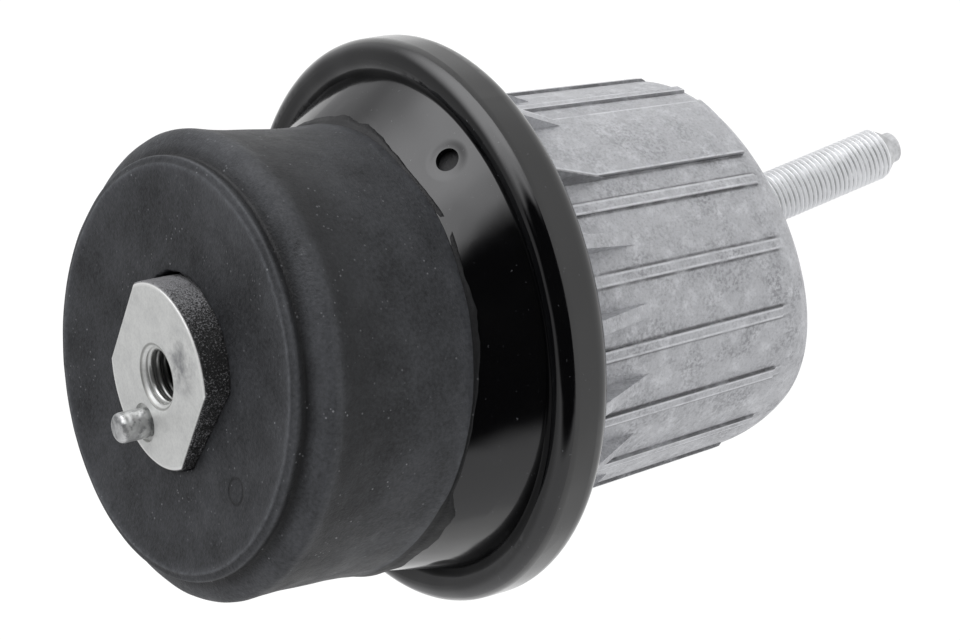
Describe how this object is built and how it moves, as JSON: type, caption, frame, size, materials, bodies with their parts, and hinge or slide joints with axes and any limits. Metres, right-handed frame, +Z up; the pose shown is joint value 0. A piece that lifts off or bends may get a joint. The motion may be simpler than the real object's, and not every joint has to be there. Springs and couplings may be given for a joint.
{
  "type": "hydraulic engine mount",
  "caption": "Rubber and metal engine mount: a rubber drum bonded round a bolt nose, in a pressed collar crimped to a ribbed cast cup that stands on a slanted threaded stud.",
  "frame": {"origin": "where the main axis meets the flat slanted seat of the cast cup", "axes": "+Z up the main axis from the seat to the bolt nose, +X to the side that the stud leans to, so XZ is the plane of symmetry of the cup and the stud"},
  "size_m": [0.1212, 0.1212, 0.1972],
  "materials": {
    "machined_core": "machined, bare",
    "pin_steel": "ground, worn",
    "spring_rubber": "matt moulded, dusty",
    "collar_paint": "gloss black",
    "cast_aluminium": "die-cast, dull",
    "stud_zinc": "bright zinc",
    "plate_aluminium": "die-cast",
    "plain_rubber": "matt"
  },
  "bodies": {
    "root": {"core": "machined_core", "dowel_pin": "pin_steel", "rubber_spring": "spring_rubber", "collar": "collar_paint", "housing": "cast_aluminium", "stud": "stud_zinc", "lower_channel_plate": "plate_aluminium", "upper_channel_plate": "plate_aluminium", "decoupler_membrane": "plain_rubber", "diaphragm": "plain_rubber"}
  },
  "joints": []
}
